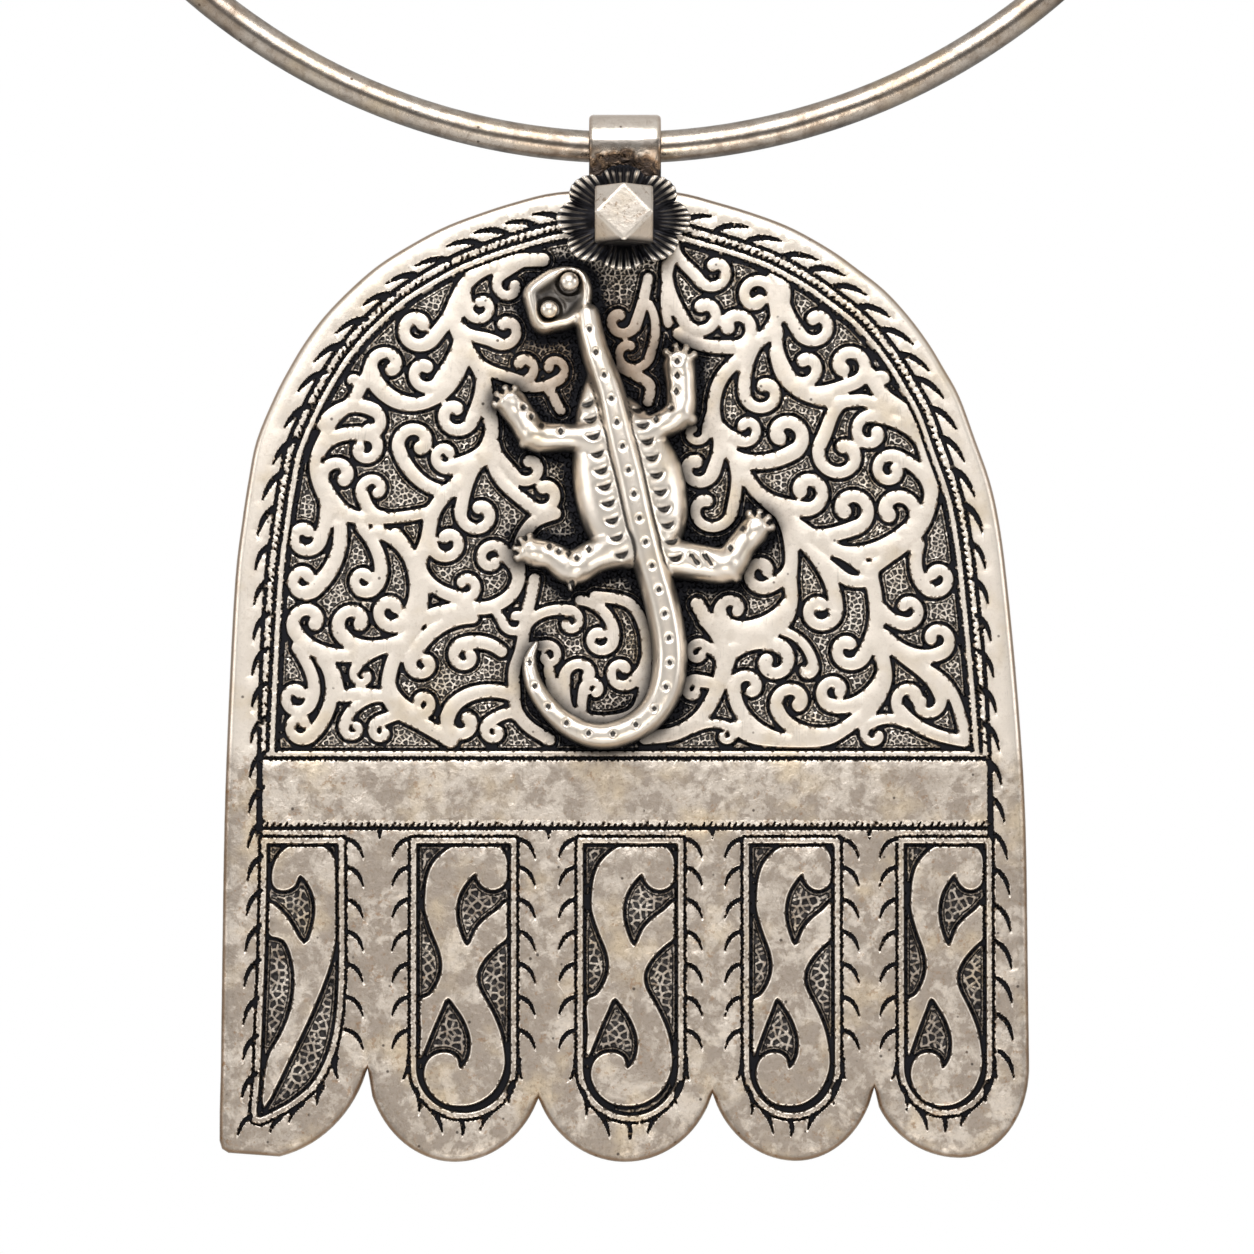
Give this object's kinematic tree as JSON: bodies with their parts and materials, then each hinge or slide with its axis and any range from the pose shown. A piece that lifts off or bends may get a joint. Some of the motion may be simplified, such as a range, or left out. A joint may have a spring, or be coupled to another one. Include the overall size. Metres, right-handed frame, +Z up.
{
  "type": "hamsa pendant necklace",
  "caption": "Arched silver hand plate with lobed fingers, chased scrollwork and an applied lizard, hung by a strap bail and rosette boss from a rigid wire neck ring.",
  "frame": {"origin": "where the clasp barrel at the top of the neck ring rests on the nape, under its middle", "axes": "+Z is up along the hanging necklace, the chased front of the pendant faces -Y, and +X runs to the viewer's right"},
  "size_m": [0.1344, 0.0122, 0.2352],
  "materials": {
    "ring_silver": "polished round wire, warm tarnish on its inner side",
    "clasp_silver": "plain burnished tube",
    "plate_silver": "burnished raised faces over oxidised, punched ground",
    "bail_silver": "burnished strap, dark solder at its foot",
    "rosette_silver": "crimped, dark in the folds, bright on the rim",
    "boss_silver": "polished facets with small pits",
    "lizard_silver": "bright polished, dark in the punched marks"
  },
  "bodies": {
    "ring": {"neck_ring": "ring_silver", "ring_clasp": "clasp_silver"},
    "pendant": {"hand_plate": "plate_silver", "bail": "bail_silver", "rosette": "rosette_silver", "boss": "boss_silver", "lizard": "lizard_silver"}
  },
  "joints": [
    {"name": "pendant_swing", "type": "hinge", "parent": "ring", "child": "pendant", "pos_m": [0, 0, -0.1286], "axis": [1, 0, 0], "continuous": true}
  ]
}
